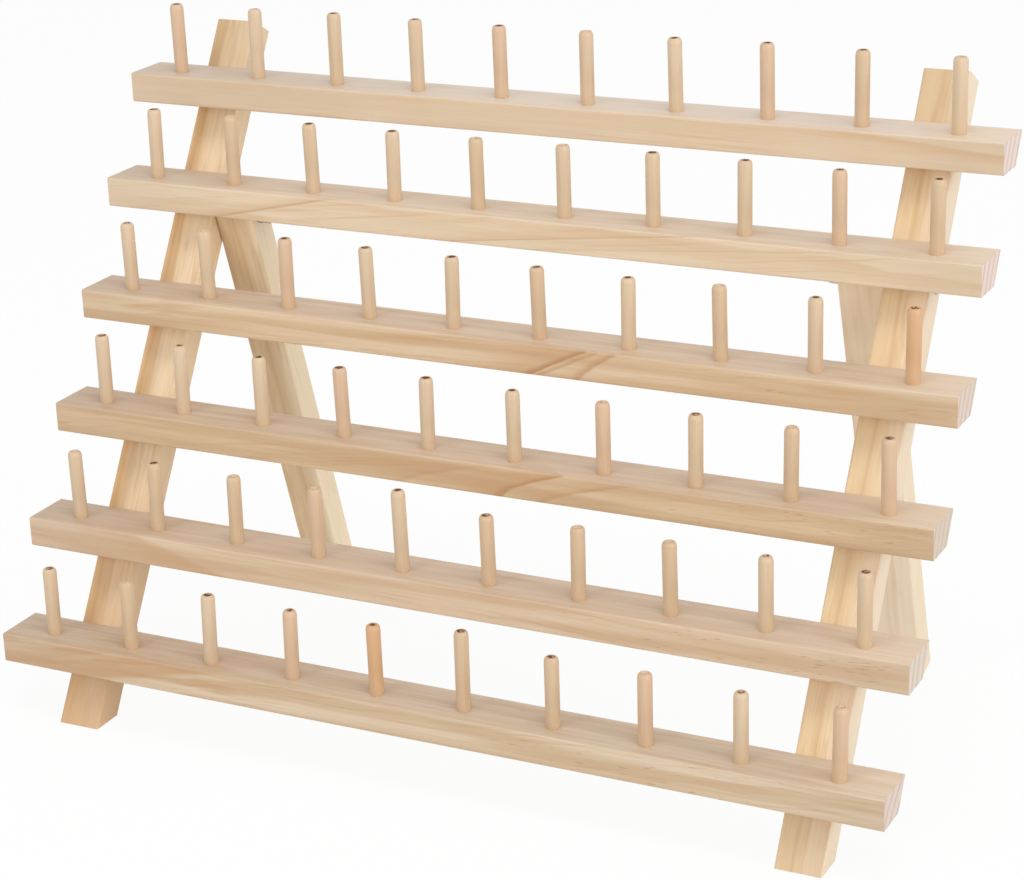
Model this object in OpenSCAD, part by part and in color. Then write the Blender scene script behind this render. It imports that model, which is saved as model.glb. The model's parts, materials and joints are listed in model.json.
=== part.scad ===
// Folding rack for spools of sewing thread: six peg rails on two leaning legs, with two hinged rear legs.
// Millimetres. +X runs along the rails to the right, +Y to the back and +Z up.
// The origin is on the floor, under the middle of the rack's outline.

/* [Rails] */
// Length of each rail
rail_length = 400; // [320:5:600]
// Depth of a rail's level top, front to back
rail_depth = 24.5; // [19:0.5:32]
// Thickness of a rail, top to bottom
rail_thick = 13; // [11:0.5:18]
// Spacing of the rails, along the legs
rail_pitch = 51.6; // [44:0.2:70]
// Spacing of the top two rails, along the legs
top_pitch = 48.8; // [44:0.2:70]
// Height of the lowest rail's top above the floor
base_height = 38.5; // [25:0.5:60]

/* [Pegs] */
// Pegs in each rail
pegs_per_rail = 10; // [6:1:12]
// Diameter of a peg
peg_d = 6; // [5:0.5:8]
// Height of a peg above its rail
peg_height = 31; // [20:1:45]
// Depth of a peg's hole
peg_seat = 9; // [6:0.5:10.5]
// Width of the coned shoulder between a peg's side and the hole that takes its spigot
peg_shoulder = 0.25; // [0.2:0.05:0.6]
// Distance from the end of a rail to the axis of its first peg
peg_margin = 20.9; // [12:0.1:40]
// Distance from a rail's front to the axes of its pegs
peg_setback = 9.4; // [8:0.2:14]
// Length of a peg's rounded nose
peg_nose = 2.4; // [0.5:0.1:4]
// Width of the rounding at a peg's top, between its side and its flat end
peg_round = 1.2; // [0.5:0.1:2]
// Extra height of the pegs that are cut long
long_extra = 4.5; // [0:0.5:8]

/* [Legs] */
// Width of the leg stock, along the rails
leg_width = 19.5; // [14:0.5:28]
// Depth of the leg stock, front to back
leg_depth = 13.5; // [10:0.5:18]
// Distance from the end of a rail to the outer face of its leg
leg_inset = 24.8; // [10:0.2:45]
// Length of a front leg above the top rail
leg_rise = 22; // [5:0.5:60]
// Lean of the front legs from upright, in degrees
lean = 31; // [25:0.5:42]
// Slope of the open rear legs from upright, in degrees
prop_angle = 17; // [8:0.5:22]

/* [Hinge] */
// Distance from the second rail's screws down to the hinge bolts, along the legs
pivot_below = 6.6; // [5.2:0.1:9]
// Diameter of a hinge bolt
bolt_d = 5; // [4:0.5:6]
// Diameter of a bolt's countersunk head
bolt_head_d = 9.5; // [8:0.5:12]
// Length of a bolt that shows past its nut
bolt_end = 2; // [0.5:0.5:5]
// Outer diameter of a washer
washer_d = 9; // [8.5:0.5:12]
// Thickness of a washer
washer_thick = 1; // [0.6:0.1:1.6]
// Width of a nut across its flats
nut_flats = 8; // [7.5:0.5:11]
// Height of a nut
nut_h = 4; // [3:0.1:6]

/* [Rail screws] */
// Diameter of a rail screw's shank
screw_d = 3; // [2.5:0.1:4]
// Diameter of a rail screw's countersunk head
screw_head_d = 6; // [5:0.1:8]
// Distance from a rail's back top edge to its screws, along the legs
screw_drop = 8; // [6:0.2:10]
// Depth that a screw reaches into its rail
screw_bite = 8; // [5:0.5:9.5]

/* [Edges and fits] */
// Easing of the long edges of the rails and legs
edge_ease = 0.8; // [0.2:0.1:1.6]
// Gap between a folded rear leg and the backs of the rails, and between its head and its stop
fold_gap = 0.3; // [0.1:0.05:1]
// Gap between a front leg and its rear leg, and between a rear leg and its washer
side_gap = 0.3; // [0.1:0.05:1]
// Radial clearance of a bolt in the legs, the washer and the nut
bolt_fit = 0.05; // [0.02:0.01:0.1]
// Radial clearance of a peg or a screw in its hole
wood_fit = 0.05; // [0.02:0.01:0.1]

/* [Hidden] */
$fn = 48;

rail_count = 6;
hinge_rail = 2;
// Row and place of each peg that is cut long
long_pegs = [[5, 5], [6, 6]];
// Steps along an eased edge, and along a rounded nose or head
ease_steps = 3;
round_steps = 5;

pine = "burlywood";
pale_pine = "wheat";
dowel = "tan";
steel = "silver";

sin_lean = sin(lean);
cos_lean = cos(lean);
sin_prop = sin(prop_angle);
cos_prop = cos(prop_angle);
// Cutters reach this far past the faces that they cut
over = leg_width;

peg_r = peg_d / 2;
peg_hole_r = peg_r - peg_shoulder;
bolt_r = bolt_d / 2;
screw_r = screw_d / 2;
screw_head_r = screw_head_d / 2;
half_depth = leg_depth / 2;

// Stations are measured up the front face of the front legs, from the lowest rail's back top edge
function station(row) =
    (rail_count - row) * rail_pitch + (row == 1 ? top_pitch - rail_pitch : 0);
leg_top = station(1) + leg_rise;
leg_foot = -base_height / cos_lean;

// Places seen from the side, with the lowest rail's front at zero
function side_y(along, deep) = rail_depth + along * sin_lean + deep * cos_lean;
function side_z(along, deep) = base_height + along * cos_lean - deep * sin_lean;

// The hinge bolts lie just behind the middle of the front legs, so that the rear legs clear the rails
pivot_at = station(hinge_rail) - screw_drop - pivot_below;
pivot_deep = half_depth + fold_gap;
pivot_z = side_z(pivot_at, pivot_deep);
// The rear legs end square, with their lower front edge on the floor
prop_length = (pivot_z - half_depth * sin_prop) / cos_prop;
// Angle between an open rear leg and its front leg
open_angle = lean + prop_angle;
// The blunt tip of a rear leg's mitred head, above the bolt
head_tip = half_depth / tan(open_angle / 2) - edge_ease;

// Outline from front to back, which places the origin
front_y = min(0, side_y(leg_foot, 0));
rear_foot_y = side_y(pivot_at, pivot_deep) + prop_length * sin_prop + half_depth * cos_prop;
rear_y = max(rear_foot_y, side_y(leg_top, leg_depth));
shift_y = -(front_y + rear_y) / 2;

// The left leg's outer face and the left hinge's faces, from left to right
leg_x = -rail_length / 2 + leg_inset;
prop_x = leg_x + leg_width + side_gap;
washer_x = prop_x + leg_width + side_gap;
nut_x = washer_x + washer_thick;
bolt_length = nut_x + nut_h + bolt_end - leg_x;
screw_x = leg_x + leg_width / 2;

peg_pitch = (rail_length - 2 * peg_margin) / (pegs_per_rail - 1);
function peg_x(place) = -rail_length / 2 + peg_margin + (place - 1) * peg_pitch;

// Outline with each corner drawn as a soft curve that starts at a set distance from the corner
function unit(v) = v / norm(v);
function eased(points, reach) = [
    for (i = [0 : len(points) - 1])
        let (
            corner = points[i],
            before = unit(points[(i + len(points) - 1) % len(points)] - corner),
            after = unit(points[(i + 1) % len(points)] - corner)
        )
        for (k = [0 : ease_steps])
            corner + reach * (pow(1 - k / ease_steps, 2) * before + pow(k / ease_steps, 2) * after)
];

// Frame of the front legs: x across, y behind the rails' backs, z up along the leg
module leg_frame(along) {
    translate([0, rail_depth + shift_y, base_height])
        rotate([-lean, 0, 0])
            translate([0, 0, along])
                children();
}

// Frame of the open rear legs: x across, y from the middle to the back, z up along the leg from the bolt
module prop_frame() {
    translate([0, side_y(pivot_at, pivot_deep) + shift_y, pivot_z])
        rotate([prop_angle, 0, 0])
            children();
}

// Line of the hinge bolts, with z to the right
module bolt_line(x) {
    translate([x, side_y(pivot_at, pivot_deep) + shift_y, pivot_z])
        rotate([0, 90, 0])
            children();
}

// The right side is the mirror image of the left
module on_right() {
    mirror([1, 0, 0])
        children();
}

module leg_stock(length) {
    linear_extrude(length)
        polygon(eased([[0, 0], [leg_width, 0], [leg_width, leg_depth], [0, leg_depth]], edge_ease));
}

// Countersunk wood screw, point down, with its head's flat at zero, or its hole, open above the head
module screw_form(clear, lift) {
    length = leg_depth + screw_bite;
    head_r = screw_head_r + clear;
    shank_r = screw_r + clear;
    rotate_extrude()
        polygon([
            [0, lift],
            [head_r, lift],
            [head_r, 0],
            [shank_r, shank_r - head_r],
            [shank_r, screw_d - length],
            [0, -length - clear]
        ]);
}

// Countersunk bolt along its line, with its head's flat at zero, or its hole, open before the head
module bolt_form(clear, lift, length) {
    head_r = bolt_head_d / 2 + clear;
    shank_r = bolt_r + clear;
    rotate_extrude()
        polygon([
            [0, -lift],
            [head_r, -lift],
            [head_r, 0],
            [shank_r, head_r - shank_r],
            [shank_r, length],
            [0, length]
        ]);
}

// Place of a row's screw at the back of the left front leg, with z out of the leg
module screw_place(row) {
    leg_frame(station(row) - screw_drop)
        translate([screw_x, leg_depth, 0])
            rotate([-90, 0, 0])
                children();
}

module screw_hole(row) {
    screw_place(row)
        screw_form(wood_fit, over);
}

// Cross recess for a driver, as wide as the shank, from zero up
module driver_cross(shank_r) {
    for (turn = [0, 90])
        rotate([0, 0, turn])
            translate([-shank_r, -shank_r / 4, 0])
                cube([2 * shank_r, shank_r / 2, over]);
}

module rail(row) {
    outline = [
        [-rail_depth, 0],
        [-rail_depth, -rail_thick],
        [-rail_thick * tan(lean), -rail_thick],
        [0, 0]
    ];
    back_y = side_y(station(row), 0) + shift_y;
    top_z = side_z(station(row), 0);
    color(pine)
        difference() {
            translate([-rail_length / 2, back_y, top_z])
                rotate([90, 0, 90])
                    linear_extrude(rail_length)
                        polygon(eased(outline, edge_ease));
            for (place = [1 : pegs_per_rail])
                translate([peg_x(place), back_y - rail_depth + peg_setback, top_z - peg_seat])
                    cylinder(r = peg_hole_r, h = peg_seat + over);
            screw_hole(row);
            on_right()
                screw_hole(row);
        }
}

// Dowel peg, with its spigot standing on the floor of its hole
module peg(extra) {
    spigot_r = peg_hole_r - wood_fit;
    top = peg_seat + peg_height + extra;
    rotate_extrude()
        polygon([
            [0, 0],
            [spigot_r, 0],
            [spigot_r, peg_seat],
            [peg_r, peg_seat + peg_r - spigot_r],
            for (k = [0 : round_steps])
                let (turn = 90 * k / round_steps)
                    [peg_r - peg_round * (1 - cos(turn)), top - peg_nose * (1 - sin(turn))],
            [0, top]
        ]);
}

module pegs_row(row) {
    peg_y = side_y(station(row), 0) - rail_depth + peg_setback + shift_y;
    floor_z = side_z(station(row), 0) - peg_seat;
    color(dowel)
        for (place = [1 : pegs_per_rail])
            let (extra = len([for (p = long_pegs) if (p == [row, place]) p]) * long_extra)
                translate([peg_x(place), peg_y, floor_z])
                    peg(extra);
}

module front_leg() {
    color(pale_pine)
        difference() {
            leg_frame(leg_foot)
                translate([leg_x, 0, 0])
                    leg_stock(leg_top - leg_foot);
            // Level cut of the foot
            translate([leg_x - over, -rail_length, -rail_length])
                cube([leg_width + 2 * over, 2 * rail_length, rail_length]);
            bolt_line(leg_x)
                bolt_form(bolt_fit, over, leg_width + over);
            for (row = [1 : rail_count])
                screw_hole(row);
        }
}

// What is cut off a rear leg's head, seen from the side: the head is round in front of the bolt, so that it
// swings past its rail, and then mitred, so that it lies along the rail's back when the leg is open
function head_waste() = [
    [-half_depth - over, 0],
    for (k = [0 : round_steps])
        let (turn = open_angle * k / round_steps)
            half_depth * [-cos(turn), sin(turn)],
    half_depth * [-cos(open_angle), sin(open_angle)] + 2 * leg_depth * [sin(open_angle), cos(open_angle)],
    [-half_depth - over, 2 * leg_depth]
];

module rear_leg() {
    color(pale_pine)
        difference() {
            prop_frame()
                translate([prop_x, -half_depth, -prop_length])
                    leg_stock(prop_length + head_tip);
            prop_frame()
                translate([prop_x - over, 0, 0])
                    rotate([90, 0, 90])
                        linear_extrude(leg_width + 2 * over)
                            polygon(head_waste());
            bolt_line(prop_x - over)
                cylinder(r = bolt_r + bolt_fit, h = leg_width + 2 * over);
        }
}

// Machine bolt, with its countersunk head flush in the outer face of the front leg
module hinge_bolt() {
    head_depth = bolt_head_d / 2 - bolt_r;
    color(steel)
        bolt_line(leg_x)
            difference() {
                bolt_form(0, 0, bolt_length);
                translate([0, 0, head_depth / 2 - over])
                    driver_cross(bolt_r);
            }
}

module hinge_washer() {
    color(steel)
        bolt_line(washer_x)
            difference() {
                cylinder(r = washer_d / 2, h = washer_thick);
                translate([0, 0, -over])
                    cylinder(r = bolt_r + bolt_fit, h = washer_thick + 2 * over);
            }
}

// Hexagon nut with the corners turned down at both ends
module hinge_nut() {
    flat_r = nut_flats / 2;
    corner_r = flat_r / cos(30);
    turned = (corner_r - flat_r) * tan(30);
    color(steel)
        bolt_line(nut_x)
            difference() {
                intersection() {
                    cylinder(r = corner_r, h = nut_h, $fn = 6);
                    rotate_extrude()
                        polygon([
                            [0, 0],
                            [flat_r, 0],
                            [corner_r, turned],
                            [corner_r, nut_h - turned],
                            [flat_r, nut_h],
                            [0, nut_h]
                        ]);
                }
                translate([0, 0, -over])
                    cylinder(r = bolt_r + bolt_fit, h = nut_h + 2 * over);
            }
}

module rail_screws() {
    color(steel)
        for (row = [1 : rail_count])
            screw_place(row)
                difference() {
                    screw_form(0, 0);
                    translate([0, 0, (screw_r - screw_head_r) / 2])
                        driver_cross(screw_r);
                }
}

rail(1);  // rail_1
rail(2);  // rail_2
rail(3);  // rail_3
rail(4);  // rail_4
rail(5);  // rail_5
rail(6);  // rail_6
pegs_row(1);  // pegs_row_1
pegs_row(2);  // pegs_row_2
pegs_row(3);  // pegs_row_3
pegs_row(4);  // pegs_row_4
pegs_row(5);  // pegs_row_5
pegs_row(6);  // pegs_row_6
front_leg();  // front_leg_left
on_right() front_leg();  // front_leg_right
rear_leg();  // rear_leg_left
on_right() rear_leg();  // rear_leg_right
hinge_bolt();  // hinge_bolt_left
on_right() hinge_bolt();  // hinge_bolt_right
hinge_washer();  // hinge_washer_left
on_right() hinge_washer();  // hinge_washer_right
hinge_nut();  // hinge_nut_left
on_right() hinge_nut();  // hinge_nut_right
rail_screws();  // rail_screws_left
on_right() rail_screws();  // rail_screws_right
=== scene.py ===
import json
import math
import random
from collections import namedtuple

import bmesh
import bpy
from mathutils import Matrix, Vector


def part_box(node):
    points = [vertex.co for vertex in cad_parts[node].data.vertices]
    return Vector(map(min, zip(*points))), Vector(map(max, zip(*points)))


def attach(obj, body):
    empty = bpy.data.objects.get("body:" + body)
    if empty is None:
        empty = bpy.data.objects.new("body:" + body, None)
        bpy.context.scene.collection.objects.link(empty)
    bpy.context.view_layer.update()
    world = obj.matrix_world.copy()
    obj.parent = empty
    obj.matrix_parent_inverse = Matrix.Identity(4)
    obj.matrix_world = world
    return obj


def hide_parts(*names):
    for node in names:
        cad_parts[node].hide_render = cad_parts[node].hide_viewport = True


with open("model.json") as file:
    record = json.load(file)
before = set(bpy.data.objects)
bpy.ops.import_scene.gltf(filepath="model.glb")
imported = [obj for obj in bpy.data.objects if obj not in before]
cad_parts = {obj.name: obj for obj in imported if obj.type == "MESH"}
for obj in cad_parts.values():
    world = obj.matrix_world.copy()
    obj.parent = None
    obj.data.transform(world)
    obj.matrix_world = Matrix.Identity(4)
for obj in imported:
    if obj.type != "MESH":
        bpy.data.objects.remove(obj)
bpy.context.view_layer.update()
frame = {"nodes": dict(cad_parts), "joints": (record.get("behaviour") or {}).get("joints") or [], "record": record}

# Sizes, in metres and radians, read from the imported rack
MM = 0.001
ROWS = range(1, 7)
SIDES = ("left", "right")
PEGS_PER_ROW = 10
LONG_PEGS = {5: 5, 6: 6}

RAIL_LOW = {row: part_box(f"rail_{row}")[0] for row in ROWS}
RAIL_HIGH = {row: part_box(f"rail_{row}")[1] for row in ROWS}
RAIL_THICK = RAIL_HIGH[1].z - RAIL_LOW[1].z
PEGS_LOW = {row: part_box(f"pegs_row_{row}")[0] for row in ROWS}
PEGS_HIGH = {row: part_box(f"pegs_row_{row}")[1] for row in ROWS}
MOUNTS = {mount["name"]: mount for mount in frame["record"]["mounts"]}

PEG_R = MOUNTS["spool_peg_row_1"]["dims"]["r_mm"] * MM
PEG_HEIGHT = PEGS_HIGH[1].z - RAIL_HIGH[1].z
LONG_HEIGHT = PEGS_HIGH[5].z - RAIL_HIGH[5].z
FIRST_PEG_X = PEGS_LOW[1].x + PEG_R
PEG_PITCH = (PEGS_HIGH[1].x - PEGS_LOW[1].x - 2 * PEG_R) / (PEGS_PER_ROW - 1)

STEP_UP = RAIL_LOW[5] - RAIL_LOW[6]
LEG_LEAN = math.atan2(STEP_UP.y, STEP_UP.z)
FOLD = {joint["name"]: joint for joint in frame["joints"]}
PROP_SLOPE = math.radians(FOLD["left_leg_fold"]["range_deg"][1]) - LEG_LEAN

# Turned pegs. A pair is a range that each peg's own size is drawn from
PEG_SEED = 100
PEG_SIDES = 28
NOSE_STEPS = 7
NOSE_LENGTH = (1.9 * MM, 2.8 * MM)
NOSE_WIDTH = (0.9 * MM, 1.5 * MM)
FOOT_DEPTH = 1.5 * MM
FOOT_BEVEL = 0.12 * MM
PEG_SHORT = 0.9 * MM
PEG_LEAN = math.radians(1.0)
# Torn hollow in a peg's end: the share of the flat's radius and the depth of each ring, and the floor's depth
CRATER = ((0.84, 0.08 * MM), (0.6, 0.42 * MM), (0.26, 0.54 * MM))
CRATER_FLOOR = 0.58 * MM
# How far the hollow may lie aside, as a share of the flat's radius, and the floor's share of that
CRATER_ASIDE = 0.25
FLOOR_ASIDE = 0.8
# How uneven the hollow's rings are, as a share of their radius
CRATER_UNEVEN = 0.12


def tone(red, green, blue):
    """A colour as it looks on a screen, in the linear light that the shaders work in."""
    levels = [level / 255 for level in (red, green, blue)]
    return (*[s / 12.92 if s <= 0.04045 else ((s + 0.055) / 1.055) ** 2.4 for s in levels], 1.0)


class Value:
    """A value that changes over a surface: one output of a node, used in plain arithmetic."""

    def __init__(self, nodes, socket):
        self.nodes = nodes
        self.socket = socket

    def __add__(self, other):
        return self.nodes.math("ADD", self, other)

    def __sub__(self, other):
        return self.nodes.math("SUBTRACT", self, other)

    def __rsub__(self, other):
        return self.nodes.math("SUBTRACT", other, self)

    def __mul__(self, other):
        return self.nodes.math("MULTIPLY", self, other)

    def __truediv__(self, other):
        return self.nodes.math("DIVIDE", self, other)

    def __rtruediv__(self, other):
        return self.nodes.math("DIVIDE", other, self)

    def __pow__(self, other):
        return self.nodes.math("POWER", self, other)

    __radd__ = __add__
    __rmul__ = __mul__


class Nodes:
    """A tree of shader nodes."""

    def __init__(self, tree):
        self.tree = tree

    def node(self, kind, settings=None, sockets=None, out=0):
        made = self.tree.nodes.new(kind)
        for name, setting in (settings or {}).items():
            setattr(made, name, setting)
        for name, value in (sockets or {}).items():
            self.feed(made.inputs[name], value)
        return Value(self, made.outputs[out]) if made.outputs else None

    def feed(self, socket, value):
        if isinstance(value, Value):
            self.tree.links.new(value.socket, socket)
        else:
            socket.default_value = value

    def math(self, operation, *values):
        return self.node("ShaderNodeMath", {"operation": operation}, dict(enumerate(values)))

    def smooth(self, value, low, high):
        ends = {"Value": value, "From Min": low, "From Max": high}
        return self.node("ShaderNodeMapRange", {"interpolation_type": "SMOOTHSTEP"}, ends)

    def mix(self, share, first, second):
        sockets = {0: share, 6: first, 7: second}
        return self.node("ShaderNodeMix", {"data_type": "RGBA"}, sockets, out=2)

    def point(self, x, y, z):
        return self.node("ShaderNodeCombineXYZ", sockets={"X": x, "Y": y, "Z": z})

    def split(self, vector):
        return [self.node("ShaderNodeSeparateXYZ", sockets={0: vector}, out=axis) for axis in "XYZ"]

    def noise(self, vector, seed, detail=2.0, roughness=0.5):
        sockets = {"Vector": vector, "W": seed, "Scale": 1.0, "Detail": detail, "Roughness": roughness}
        return self.node("ShaderNodeTexNoise", {"noise_dimensions": "4D"}, sockets)

    def bump(self, height, strength, distance):
        sockets = {"Height": height, "Strength": strength, "Distance": distance}
        return self.node("ShaderNodeBump", sockets=sockets)

    def seen(self):
        """1 where the camera, a reflection or a clear piece looks at a surface, 0 where only light does."""
        kinds = ("Camera", "Glossy", "Transmission")
        camera, glossy, clear = [self.node("ShaderNodeLightPath", out=f"Is {kind} Ray") for kind in kinds]
        return self.math("MAXIMUM", self.math("MAXIMUM", camera, glossy), clear)


class Finish(Nodes):
    """A material, built on one principled shader."""

    def __init__(self, name):
        self.material = bpy.data.materials.new(name)
        self.material.use_nodes = True
        super().__init__(self.material.node_tree)
        self.shader = self.tree.nodes["Principled BSDF"]

    def set(self, **sockets):
        for name, value in sockets.items():
            self.feed(self.shader.inputs[name.replace("_", " ")], value)


class Board(Finish):
    """Wood, measured in millimetres along the grain, across it and through it from a set place."""

    def __init__(self, name, place, turn, order, seed, colour):
        super().__init__(name)
        self.seed = seed
        self.colour = colour
        spot = self.node("ShaderNodeTexCoord", out="Object")
        facing = self.node("ShaderNodeTexCoord", out="Normal")
        self.along, self.across, self.through = self.measured(spot, place, turn, MM, order)
        lengthwise, aside, upright = self.measured(facing, (0, 0, 0), turn, 1, order)
        self.end = self.smooth(self.math("ABSOLUTE", lengthwise), 0.6, 0.8)
        self.right = self.smooth(aside, 0.6, 0.8)
        self.top = self.smooth(upright, 0.6, 0.8)

    def measured(self, vector, place, turn, unit, order):
        sockets = {"Vector": vector, "Location": place, "Rotation": (turn, 0, 0), "Scale": (unit,) * 3}
        turned = self.node("ShaderNodeMapping", {"vector_type": "TEXTURE"}, sockets)
        axes = dict(zip("XYZ", self.split(turned)))
        return [axes[axis] for axis in order]

    def stain(self, colour, where, share=1.0):
        """Tints the wood by a share where a mask is 1."""
        self.colour = self.mix(where * share, self.colour, colour)

    def streaks(self, long, wide, offset, detail=2.0, roughness=0.5, rise=0.0):
        """Noise drawn out along the grain, with patches of about the given length and width."""
        level = self.through - self.along * (rise * (1 - self.top)) if rise else self.through
        spot = self.point(self.along / long, self.across / wide, level / wide)
        return self.noise(spot, self.seed + offset, detail, roughness)

    def ring(self, gap, pith, drift, sway):
        """Place within a yearly ring, from 0 in its early wood to 1 at the end of its late wood."""
        aside = self.across - pith[0]
        above = self.through - pith[1]
        reach = (aside * aside + above * above) ** 0.5
        wander = (self.streaks(long=190, wide=60, offset=1.3) - 0.5) * sway
        ripple = (self.streaks(long=46, wide=11, offset=2.7) - 0.5) * (0.3 * sway)
        return self.math("FRACT", (reach + self.along * drift + wander + ripple) / gap)

    def late_wood(self, ring, start):
        """Late wood, from 0 to 1: it darkens slowly from a set place in the ring and ends sharply."""
        return self.smooth(ring, start, 0.92) * (1 - self.smooth(ring, 0.92, 1.0))

    def fibre(self):
        """Fine fibres, from 0 in their dark gaps to 1."""
        threads = self.streaks(long=34, wide=0.75, offset=3.9, detail=3.0, roughness=0.62)
        return self.smooth(threads, 0.28, 0.66)

    def grain_lines(self, rise):
        """Thin darker lines in long patches, that climb to the right at a set rise."""
        lines = self.streaks(long=64, wide=1.5, offset=9.1, roughness=0.6, rise=rise)
        patches = self.streaks(long=110, wide=7, offset=9.6, rise=rise)
        return self.smooth(lines, 0.5, 0.7) * self.smooth(patches, 0.38, 0.6)

    def smudges(self, rise, end):
        """Short brown smears of late wood to the left of a set place."""
        marks = self.streaks(long=34, wide=2.6, offset=11.3, detail=3.0, rise=rise)
        return self.smooth(marks, 0.5, 0.66) * (1 - self.smooth(self.along, end - SMUDGE_FADE, end))

    def beside(self, slant):
        """Distance to the right of a slanting line, which climbs the front and runs on over the top."""
        climb = self.math("MAXIMUM", 1 + self.through / (RAIL_THICK / MM), 0.0)
        wobble = (self.streaks(long=9, wide=3, offset=5.1) - 0.5) * SLANT_WOBBLE
        rise = (slant.head - slant.foot) * climb ** slant.bend
        return self.along - slant.foot - rise - self.across * slant.run_back + wobble

    def flecks(self, start, least):
        """Short dark resin ducts to the right of a set place, in fewer patches the higher the least is."""
        marks = self.streaks(long=6, wide=0.6, offset=7.7, detail=0.0, rise=0.08)
        patches = self.smooth(self.streaks(long=46, wide=6, offset=8.2), least, least + 0.1)
        begun = self.smooth(self.along, start, start + FLECK_FADE)
        return self.smooth(marks, 0.68, 0.75) * patches * begun * (1 - 0.7 * self.top)


# Slanting lines on a rail, in millimetres: their wobble, their width, and where they fade behind the front
SLANT_WOBBLE = 3.0
SLANT_WIDTH = 5.0
SLANT_FADE = (0.2, 2.5)
# Lengths over which smudges and flecks fade along a rail, in millimetres
SMUDGE_FADE = 40
FLECK_FADE = 60
# Where a rail's left end is darkest, and the stretch over which its right end grows paler, in millimetres
DARK_END_FROM = RAIL_LOW[1].x / MM - 5
PALE_END_SPAN = (RAIL_HIGH[1].x / MM - 55, RAIL_HIGH[1].x / MM)
# How far the edge of a leg's heart wanders, and the stretches, from the leg's middle, over which its tips
# darken and its foot turns brown, in millimetres
HEART_WANDER = 9.0
DARK_TIP_SPAN = (118, 140)
BROWN_FOOT = (-150, 20)
# Heights between which the painted light that pales a peg's foot against the shade there ends, in millimetres
FOOT_LIGHT_SPAN = (-2, 13)
# Fineness of the mottle on plated steel, per metre
MOTTLE = 900.0


def rail_pine(row, look):
    """Flat-sawn rail stock: the pith lies behind the rail, so the ring lines stand upright on its ends."""
    place = (0, RAIL_LOW[row].y, RAIL_HIGH[row].z)
    board = Board(f"rail_pine_{row}", place, 0, "XYZ", look["seed"], look["pale"])
    late = look["late"]
    fibre = board.fibre()
    flecks = board.flecks(look["flecks_from"], look["fleck_patch"])
    ring = board.ring(look["ring_gap"], look["pith"], look["drift"], sway=7.5)
    late_wood = board.late_wood(ring, 0.4)
    strength = board.smooth(board.streaks(long=80, wide=8, offset=4.4), 0.38, 0.7)
    board.stain(look["warm"], board.smooth(board.streaks(long=120, wide=5, offset=0.4), 0.36, 0.66))
    board.stain(late, late_wood, share=0.1 + 0.34 * strength)
    board.stain(late, board.grain_lines(look["rise"]), share=0.45)
    board.stain(late, board.smudges(look["rise"], look["smudges_to"]), share=0.6)

    behind_edge = board.smooth(board.across, *SLANT_FADE)
    for slant in look["slants"]:
        aside = board.beside(slant)
        stop = 1 - board.smooth(aside, 0.0, slant.soft)
        broad = board.smooth(aside, -slant.reach, 0.0) * stop * (1 - 0.5 * behind_edge)
        thin = board.smooth(aside, -SLANT_WIDTH, 0.0) * stop * (1 - behind_edge)
        board.stain(late, broad, share=slant.shade)
        board.stain(STREAK, thin, share=slant.line)

    # Painted light on the tops: a paler, greyer tone stands in for the sheen of reflected light, and grows toward
    # the back to lift the shade that falls there
    toward_back = board.smooth(board.across, 3, 20)
    patches = board.smooth(board.streaks(long=38, wide=4.5, offset=13.4, detail=3.0), 0.46, 0.68)
    left_end = 1 - board.smooth(board.along, DARK_END_FROM, look["dark_end_to"])
    right_end = board.smooth(board.along, *PALE_END_SPAN)
    board.stain(RAIL_TOP_SHEEN, board.top, share=look["top_sheen"] * (0.85 + 0.25 * toward_back))
    board.stain(late, board.top * patches, share=0.22)
    # The ends: darker toward the left end, and toward the right end on the front; paler toward the right end on
    # the top
    board.stain(RAIL_DARK_END, left_end, share=0.25 + 0.15 * board.top)
    board.stain(RAIL_DARK_END, right_end * (1 - board.top), share=0.2)
    board.stain(RAIL_PALE_END, right_end * board.top, share=0.52)
    board.stain(late, 1 - fibre, share=0.24)
    board.stain(FLECK, flecks, share=0.5)

    pore_spot = board.point(board.along * 0.2, board.across * 3, board.through * 3)
    pores = board.smooth(board.noise(pore_spot, seed=4.0), 0.35, 0.7)
    end_grain = board.mix(pores * 0.3, look["end"], END_PORE)
    end_grain = board.mix(board.late_wood(ring, 0.5) * 0.6, end_grain, END_LINE)
    board.set(
        Base_Color=board.mix(board.end, board.colour, end_grain),
        Roughness=0.46 + 0.12 * fibre + 0.15 * board.end,
        Normal=board.bump(fibre + 0.3 * late_wood - flecks, strength=0.16, distance=0.1 * MM),
    )
    return board.material


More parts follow.
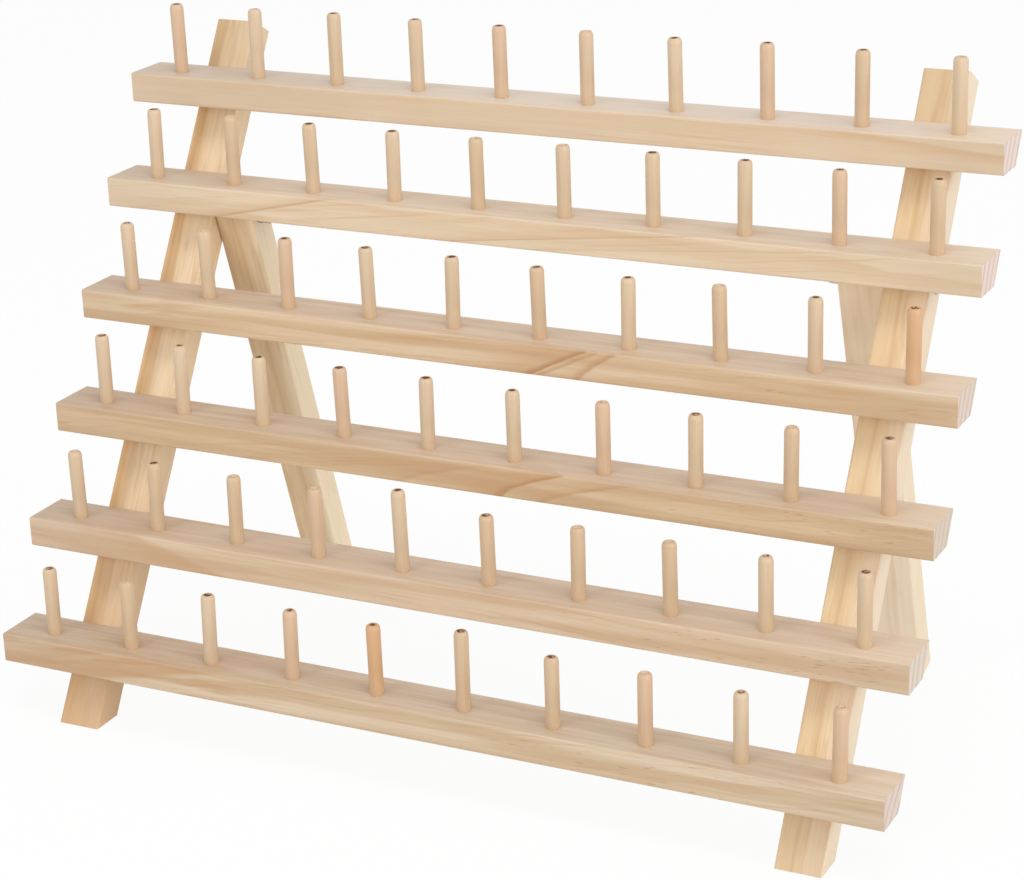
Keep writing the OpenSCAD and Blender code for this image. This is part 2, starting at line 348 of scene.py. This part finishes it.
def leg_pine(name, place, turn, look):
    """Leg stock sawn from the edge of the heart: brown on its left and paler to its right, in broad bands."""
    board = Board(name, place, turn, "ZXY", look["seed"], look["heart"])
    late = look["late"]
    fibre = board.fibre()
    ring = board.ring(look["ring_gap"], look["pith"], look["drift"], sway=5.0)
    late_wood = board.late_wood(ring, 0.35)
    strength = board.smooth(board.streaks(long=90, wide=7, offset=4.4), 0.36, 0.7)
    smears = board.smooth(board.streaks(long=24, wide=3.4, offset=12.7, detail=3.0), 0.52, 0.7)

    heart_from, heart_to = look["heart_edge"]
    edge = board.across + (board.streaks(long=90, wide=12, offset=6.2) - 0.5) * HEART_WANDER
    rim = board.smooth(edge, heart_from - 2.5, heart_from)
    past_rim = board.smooth(edge, heart_from, heart_from + 1.0)
    tip = board.smooth(board.math("ABSOLUTE", board.along), *DARK_TIP_SPAN)
    foot = 1 - board.smooth(board.along, *BROWN_FOOT)
    board.stain(look["pale"], board.smooth(edge, heart_from, heart_to))
    board.stain(late, rim * (1 - past_rim), share=0.3)
    board.stain(late, late_wood, share=0.1 + 0.26 * strength)
    board.stain(late, board.grain_lines(rise=0.0), share=0.38)
    board.stain(late, smears, share=0.3)
    # Painted light: the right side takes a tone of its own, paler where it lies in shade and darker where the fill
    # lamp lights it strongly
    board.stain(look["side"], board.right, share=0.78)
    board.stain(late, 1 - fibre, share=0.2)
    # Both ends of each leg are darkened, except on the right side where a leg's look spares it
    board.stain(LEG_TIP, tip * (1 - board.right * look["spared_side"]), share=0.45)
    board.stain(late, foot, share=look["brown_foot"])

    end_grain = board.mix(board.late_wood(ring, 0.6) * 0.7, LEG_END, END_LINE)
    board.set(
        Base_Color=board.mix(board.end, board.colour, end_grain),
        Roughness=0.44 + 0.12 * fibre + 0.15 * board.end,
        Normal=board.bump(fibre + 0.3 * late_wood, strength=0.16, distance=0.1 * MM),
    )
    return board.material


def peg_dowel(name, wood, seed):
    """Turned dowel with fine grain, a faint reddish line here and there, and painted light that pales its foot."""
    board = Board(name, (0, 0, 0), 0, "ZXY", seed, wood)
    threads = board.streaks(long=26, wide=0.7, offset=2.2, detail=3.0, roughness=0.6)
    grain = board.smooth(threads, 0.32, 0.64)
    blush = board.smooth(board.streaks(long=60, wide=2.4, offset=6.1), 0.58, 0.7)
    board.stain(DOWEL_GRAIN, 1 - grain, share=0.22)
    board.stain(DOWEL_BLUSH, blush, share=0.25)
    # Painted light: the foot is paled against the shade that gathers where the peg meets the rail
    board.stain(DOWEL_FOOT_LIGHT, 1 - board.smooth(board.along, *FOOT_LIGHT_SPAN), share=0.45)
    board.set(
        Base_Color=board.colour,
        Roughness=0.42 + 0.12 * grain,
        Normal=board.bump(grain, strength=0.16, distance=0.1 * MM),
    )
    return board.material


def peg_end(name, torn, singed, least):
    """Cut end of a peg, torn and singed in patches where it was parted off."""
    board = Board(name, (0, 0, 0), 0, "ZXY", seed=5.3, colour=torn)
    mottle = board.streaks(long=1.5, wide=1.5, offset=1.0, detail=3.0, roughness=0.6)
    patch = board.smooth(mottle, least, least + 0.16)
    board.stain(singed, patch)
    board.set(
        Base_Color=board.colour,
        Roughness=0.75,
        Specular_IOR_Level=0.2,
        Normal=board.bump(patch, strength=0.4, distance=0.2 * MM),
    )
    return board.material


def plated_steel(name, bright, dull):
    """Zinc-plated steel with a faint mottle."""
    finish = Finish(name)
    spot = finish.node("ShaderNodeTexCoord", out="Object")
    fine = finish.node("ShaderNodeVectorMath", {"operation": "SCALE"}, {0: spot, "Scale": MOTTLE})
    mottle = finish.noise(fine, seed=0.7, detail=3.0, roughness=0.6)
    finish.set(
        Base_Color=finish.mix(finish.smooth(mottle, 0.35, 0.65), bright, dull),
        Metallic=1.0,
        Roughness=0.26 + 0.2 * mottle,
        Normal=finish.bump(mottle, strength=0.12, distance=0.05 * MM),
    )
    return finish.material


# Tones of the bare wood and the plated steel, and of light painted on the wood
FLECK = tone(158, 112, 74)
STREAK = tone(169, 125, 79)
# Painted sheen that pales the rails' tops
RAIL_TOP_SHEEN = tone(225, 211, 197)
RAIL_DARK_END = tone(172, 152, 130)
RAIL_PALE_END = tone(237, 219, 195)
END_PORE = tone(208, 186, 172)
END_LINE = tone(178, 148, 138)
LEG_TIP = tone(190, 163, 128)
LEG_END = tone(219, 201, 174)
DOWEL_TONES = (tone(203, 180, 150), tone(206, 183, 154), tone(204, 174, 145), tone(200, 174, 142))
DOWEL_RED = tone(204, 162, 120)
DOWEL_GRAIN = tone(188, 148, 112)
DOWEL_BLUSH = tone(196, 146, 112)
# Painted light at the pegs' feet
DOWEL_FOOT_LIGHT = tone(236, 208, 174)
END_TORN = tone(196, 162, 136)
END_SINGED = tone(104, 66, 48)
END_CLEAN = tone(218, 190, 164)
END_BROWNED = tone(164, 122, 94)
ZINC = (tone(186, 184, 180), tone(150, 149, 146))
YELLOW_ZINC = (tone(214, 202, 160), tone(186, 170, 122))

# A slanting line of late wood: its foot and head on a rail's front, its bend, its run to the back over the
# top, the reach of the shade to its left, its softness, and how strong its shade and its own dark line are
Slant = namedtuple("Slant", "foot head bend run_back reach soft shade line")

# Each rail's stock: its tones, how strongly painted sheen pales its top, the gap, pith and drift of its yearly
# rings, the rise of its grain, where its flecks start and the least value of a patch that has them, where its
# smudges and its darker left end stop, and its slanting lines. Places are in millimetres from the rail's middle
RAIL_LOOKS = {
    1: dict(
        seed=11.1, pale=tone(214, 192, 164), warm=tone(208, 186, 157), late=tone(198, 160, 118),
        end=tone(215, 199, 189), top_sheen=0.85, ring_gap=5.2, pith=(92, -50), drift=0.008, rise=-0.03,
        flecks_from=260, fleck_patch=0.60, smudges_to=-240, dark_end_to=0,
        slants=[Slant(foot=285, head=130, bend=1.0, run_back=2.0, reach=55, soft=14, shade=0.55, line=0.0)],
    ),
    2: dict(
        seed=24.7, pale=tone(219, 199, 171), warm=tone(212, 191, 162), late=tone(194, 154, 110),
        end=tone(216, 196, 186), top_sheen=0.45, ring_gap=5.6, pith=(96, -46), drift=0.014, rise=0.12,
        flecks_from=-230, fleck_patch=0.60, smudges_to=-260, dark_end_to=-110,
        slants=[
            Slant(foot=-146, head=-88, bend=1.0, run_back=2.0, reach=22, soft=3.0, shade=0.30, line=0.40),
            Slant(foot=-34, head=80, bend=1.0, run_back=2.0, reach=40, soft=4.0, shade=0.30, line=0.32),
            Slant(foot=4, head=150, bend=1.0, run_back=2.0, reach=30, soft=3.0, shade=0.15, line=0.20),
        ],
    ),
    3: dict(
        seed=32.9, pale=tone(213, 189, 158), warm=tone(196, 166, 130), late=tone(186, 144, 100),
        end=tone(206, 190, 177), top_sheen=0.45, ring_gap=5.0, pith=(90, -44), drift=-0.012, rise=0.05,
        flecks_from=60, fleck_patch=0.52, smudges_to=-120, dark_end_to=-120,
        slants=[
            Slant(foot=18, head=45, bend=1.0, run_back=-1.3, reach=44, soft=1.8, shade=0.60, line=0.85),
            Slant(foot=23, head=50, bend=1.0, run_back=-1.3, reach=5, soft=1.8, shade=0.25, line=0.40),
            Slant(foot=41, head=58, bend=1.4, run_back=-1.3, reach=16, soft=1.8, shade=0.30, line=0.50),
        ],
    ),
    4: dict(
        seed=43.3, pale=tone(207, 181, 147), warm=tone(191, 161, 125), late=tone(182, 140, 96),
        end=tone(199, 186, 168), top_sheen=0.42, ring_gap=5.0, pith=(90, -44), drift=-0.012, rise=0.14,
        flecks_from=40, fleck_patch=0.47, smudges_to=-160, dark_end_to=-130,
        slants=[
            Slant(foot=17, head=46, bend=1.6, run_back=-1.3, reach=44, soft=1.8, shade=0.60, line=0.70),
            Slant(foot=-30, head=12, bend=1.3, run_back=-1.3, reach=30, soft=4.0, shade=0.30, line=0.15),
            Slant(foot=36, head=76, bend=1.4, run_back=-1.3, reach=20, soft=3.0, shade=0.30, line=0.30),
        ],
    ),
    5: dict(
        seed=56.1, pale=tone(212, 189, 162), warm=tone(196, 168, 136), late=tone(188, 148, 108),
        end=tone(205, 194, 179), top_sheen=0.34, ring_gap=5.8, pith=(100, -40), drift=0.012, rise=-0.06,
        flecks_from=0, fleck_patch=0.47, smudges_to=-240, dark_end_to=-130,
        slants=[Slant(foot=-104, head=-150, bend=1.0, run_back=1.5, reach=45, soft=10, shade=0.55, line=0.0)],
    ),
    6: dict(
        seed=68.4, pale=tone(210, 191, 165), warm=tone(193, 168, 136), late=tone(180, 138, 96),
        end=tone(204, 189, 177), top_sheen=0.3, ring_gap=6.0, pith=(70, -70), drift=-0.014, rise=0.10,
        flecks_from=0, fleck_patch=0.46, smudges_to=-60, dark_end_to=-120,
        slants=[
            Slant(foot=-160, head=-100, bend=1.0, run_back=1.5, reach=120, soft=14.0, shade=0.70, line=0.0),
            Slant(foot=-200, head=-150, bend=1.0, run_back=1.5, reach=40, soft=6.0, shade=0.30, line=0.10),
        ],
    ),
}

# Each leg's stock: its brown and pale tones, the tone of its right side, partly its own and partly painted
# light, paler on the left legs and darker on the right legs for how the lamps light those sides, its late wood,
# where its brown heart ends across the face, the gap, pith and drift of its yearly rings, how brown its foot
# is, and how much the right side of its tips keeps clear of their darker tone
LEG_LOOKS = {
    "front_leg_left": dict(
        seed=21.4, heart=tone(232, 195, 145), pale=tone(236, 212, 177), side=tone(248, 224, 186),
        late=tone(186, 140, 92), heart_edge=(-6, 1), ring_gap=9.0, pith=(-30, 30), drift=0.012,
        brown_foot=0.5, spared_side=0.0,
    ),
    "front_leg_right": dict(
        seed=27.9, heart=tone(227, 200, 159), pale=tone(232, 210, 182), side=tone(222, 207, 182),
        late=tone(190, 146, 98), heart_edge=(-2, 8), ring_gap=10.0, pith=(-40, 24), drift=-0.009,
        brown_foot=0.0, spared_side=1.0,
    ),
    "rear_leg_left": dict(
        seed=33.2, heart=tone(220, 193, 154), pale=tone(239, 221, 190), side=tone(249, 233, 202),
        late=tone(188, 148, 106), heart_edge=(0, 9), ring_gap=9.5, pith=(-34, 30), drift=0.010,
        brown_foot=0.0, spared_side=0.0,
    ),
    "rear_leg_right": dict(
        seed=39.6, heart=tone(237, 220, 194), pale=tone(239, 224, 199), side=tone(219, 203, 174),
        late=tone(220, 190, 154), heart_edge=(-1, 7), ring_gap=11.0, pith=(-38, -24), drift=-0.011,
        brown_foot=0.0, spared_side=0.0,
    ),
}

# Pegs cut from a redder stick, by row and place, and the share of pegs whose ends are singed
RED_PEGS = ((3, 10), (6, 5))
SINGED_SHARE = 0.7


def peg_profile(height, nose_length, nose_width):
    """Radius and height of each ring of a peg, from its foot in the rail to the flat of its end."""
    rings = [(PEG_R - FOOT_BEVEL, -FOOT_DEPTH), (PEG_R - FOOT_BEVEL, 0.0), (PEG_R, FOOT_BEVEL)]
    for step in range(NOSE_STEPS + 1):
        turn = math.pi / 2 * step / NOSE_STEPS
        inset = nose_width * (1 - math.cos(turn))
        rings.append((PEG_R - inset, height - nose_length * (1 - math.sin(turn))))
    return rings


def turn_peg(mesh, stand, height, chance, wood, end):
    """One peg on its rail, with a torn hollow in its end. Its finishes are slots of the row's mesh."""
    nose_width = chance.uniform(*NOSE_WIDTH)
    flat_r = PEG_R - nose_width
    aside = Vector((chance.uniform(-1, 1), chance.uniform(-1, 1), 0)) * CRATER_ASIDE * flat_r
    loops = []

    def ring(radius, level, centre=Vector(), uneven=0.0):
        loop = []
        for side in range(PEG_SIDES):
            turn = 2 * math.pi * side / PEG_SIDES
            reach = radius * (1 + chance.uniform(-uneven, uneven))
            spot = centre + Vector((reach * math.cos(turn), reach * math.sin(turn), level))
            loop.append(mesh.verts.new(stand @ spot))
        loops.append(loop)

    for radius, level in peg_profile(height, chance.uniform(*NOSE_LENGTH), nose_width):
        ring(radius, level)
    flat_loop = len(loops) - 1
    for share, sink in CRATER:
        ring(share * flat_r, height - sink, aside * (1 - share), CRATER_UNEVEN)

    def panel(corners, slot):
        face = mesh.faces.new(corners)
        face.smooth = True
        face.material_index = slot

    for index, (lower, upper) in enumerate(zip(loops, loops[1:])):
        slot = end if index > flat_loop else wood
        for side in range(PEG_SIDES):
            after = (side + 1) % PEG_SIDES
            panel((lower[side], lower[after], upper[after], upper[side]), slot)
    floor = mesh.verts.new(stand @ (aside * FLOOR_ASIDE + Vector((0, 0, height - CRATER_FLOOR))))
    for side in range(PEG_SIDES):
        panel((loops[-1][side], loops[-1][(side + 1) % PEG_SIDES], floor), end)
    mesh.faces.new(list(reversed(loops[0])))


def dowel_row(row, finishes):
    """The ten turned pegs of one rail, in place of the rack's plain ones. Heights are from the rail's top."""
    chance = random.Random(PEG_SEED + row)
    mesh = bmesh.new()
    middle_y = (PEGS_LOW[row].y + PEGS_HIGH[row].y) / 2
    red_slot = len(DOWEL_TONES)
    for place in range(1, PEGS_PER_ROW + 1):
        foot = Vector((FIRST_PEG_X + (place - 1) * PEG_PITCH, middle_y, 0))
        height = LONG_HEIGHT if LONG_PEGS.get(row) == place else PEG_HEIGHT
        leans = [Matrix.Rotation(chance.uniform(-PEG_LEAN, PEG_LEAN), 4, axis) for axis in "XY"]
        wood = red_slot if (row, place) in RED_PEGS else chance.randrange(red_slot)
        end = red_slot + (1 if chance.random() < SINGED_SHARE else 2)
        stand = Matrix.Translation(foot) @ leans[0] @ leans[1]
        turn_peg(mesh, stand, height - chance.uniform(0, PEG_SHORT), chance, wood, end)
    data = bpy.data.meshes.new(f"dowels_row_{row}")
    mesh.to_mesh(data)
    mesh.free()
    for finish in finishes:
        data.materials.append(finish)
    pegs = bpy.data.objects.new(f"dowels_row_{row}", data)
    pegs.matrix_world = Matrix.Translation((0, 0, RAIL_HIGH[row].z))
    bpy.context.scene.collection.objects.link(pegs)
    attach(pegs, "rack_frame")
    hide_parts(f"pegs_row_{row}")


def dress(node, material):
    """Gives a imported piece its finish."""
    piece = frame["nodes"][node]
    piece.data.materials.clear()
    piece.data.materials.append(material)


peg_finishes = [peg_dowel(f"peg_dowel_{index}", wood, 3.1 * index)
                for index, wood in enumerate((*DOWEL_TONES, DOWEL_RED), start=1)]
peg_finishes.append(peg_end("peg_end_singed", END_TORN, END_SINGED, least=0.36))
peg_finishes.append(peg_end("peg_end_clean", END_CLEAN, END_BROWNED, least=0.52))
for row in ROWS:
    dress(f"rail_{row}", rail_pine(row, RAIL_LOOKS[row]))
    dowel_row(row, peg_finishes)

for side in SIDES:
    for leg, slope in (("front_leg", -LEG_LEAN), ("rear_leg", PROP_SLOPE)):
        name = f"{leg}_{side}"
        middle = (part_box(name)[0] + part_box(name)[1]) / 2
        dress(name, leg_pine(f"leg_pine_{name}", middle, slope, LEG_LOOKS[name]))

hinge_steel = plated_steel("hinge_steel", *ZINC)
screw_steel = plated_steel("screw_steel", *YELLOW_ZINC)
for side in SIDES:
    for piece in ("bolt", "washer", "nut"):
        dress(f"hinge_{piece}_{side}", hinge_steel)
    dress(f"rail_screws_{side}", screw_steel)

# Studio: white surroundings, a white floor that keeps a faint shadow, and soft lamps
SURROUND_LIGHT = 0.64
WHITE = (1, 1, 1, 1)
FLOOR_PAINT = (0.94, 0.94, 0.94, 1)
FLOOR_SIZE = 12.0
FLOOR_DROP = 0.2 * MM
# Share of the floor's look that is plain white, where it is seen directly
FLOOR_WHITE = 0.92

world = bpy.data.worlds.new("studio")
world.use_nodes = True
bpy.context.scene.world = world
sky = Nodes(world.node_tree)
sky.tree.nodes.clear()
lighting = sky.node("ShaderNodeBackground", sockets={"Color": WHITE, "Strength": SURROUND_LIGHT})
backdrop = sky.node("ShaderNodeBackground", sockets={"Color": WHITE, "Strength": 1.0})
surround = sky.node("ShaderNodeMixShader", sockets={0: sky.seen(), 1: lighting, 2: backdrop})
sky.node("ShaderNodeOutputWorld", sockets={"Surface": surround})

floor_finish = bpy.data.materials.new("floor_white")
floor_finish.use_nodes = True
paint = Nodes(floor_finish.node_tree)
paint.tree.nodes.clear()
matt = paint.node("ShaderNodeBsdfDiffuse", sockets={"Color": FLOOR_PAINT})
white = paint.node("ShaderNodeEmission", sockets={"Color": WHITE, "Strength": 1.0})
surface = paint.node("ShaderNodeMixShader", sockets={0: paint.seen() * FLOOR_WHITE, 1: matt, 2: white})
paint.node("ShaderNodeOutputMaterial", sockets={"Surface": surface})

bpy.ops.mesh.primitive_plane_add(size=FLOOR_SIZE, location=(0, 0, -FLOOR_DROP))
floor = bpy.context.object
floor.name = "floor"
floor.data.materials.append(floor_finish)

RACK_MIDDLE = Vector((0.0, 0.0, 0.14))


def lamp(name, place, size, power):
    """A soft round lamp, aimed at the middle of the rack."""
    light = bpy.data.lights.new(name, "AREA")
    light.shape = "DISK"
    light.size = size
    light.energy = power
    holder = bpy.data.objects.new(name, light)
    holder.location = place
    holder.rotation_euler = (RACK_MIDDLE - Vector(place)).to_track_quat("-Z", "Y").to_euler()
    holder.visible_camera = False
    bpy.context.scene.collection.objects.link(holder)


lamp("key", place=(-1.1, -2.2, 0.9), size=1.2, power=15.5)
lamp("fill", place=(3.9, -1.05, 1.1), size=2.4, power=76.0)
lamp("overhead", place=(0.5, -0.7, 2.4), size=1.0, power=13.5)

# The photograph's view: the camera's place, and its heading, downward tilt, roll and lens
CAMERA_PLACE = (0.48276, -0.95190, 0.51484)
HEADING = math.radians(26.847)
TILT = math.radians(20.265)
ROLL = math.radians(-1.992)
LENS_MM = 94.778
SENSOR_MM = 36.0

camera = bpy.data.cameras.new("camera")
camera.lens = LENS_MM
camera.sensor_width = SENSOR_MM
camera.sensor_fit = "HORIZONTAL"
viewer = bpy.data.objects.new("camera", camera)
turn = Matrix.Rotation(HEADING, 4, "Z") @ Matrix.Rotation(math.pi / 2 - TILT, 4, "X")
viewer.matrix_world = Matrix.Translation(CAMERA_PLACE) @ turn @ Matrix.Rotation(ROLL, 4, "Z")
bpy.context.scene.collection.objects.link(viewer)
bpy.context.scene.camera = viewer
bpy.context.scene.view_settings.view_transform = "Standard"
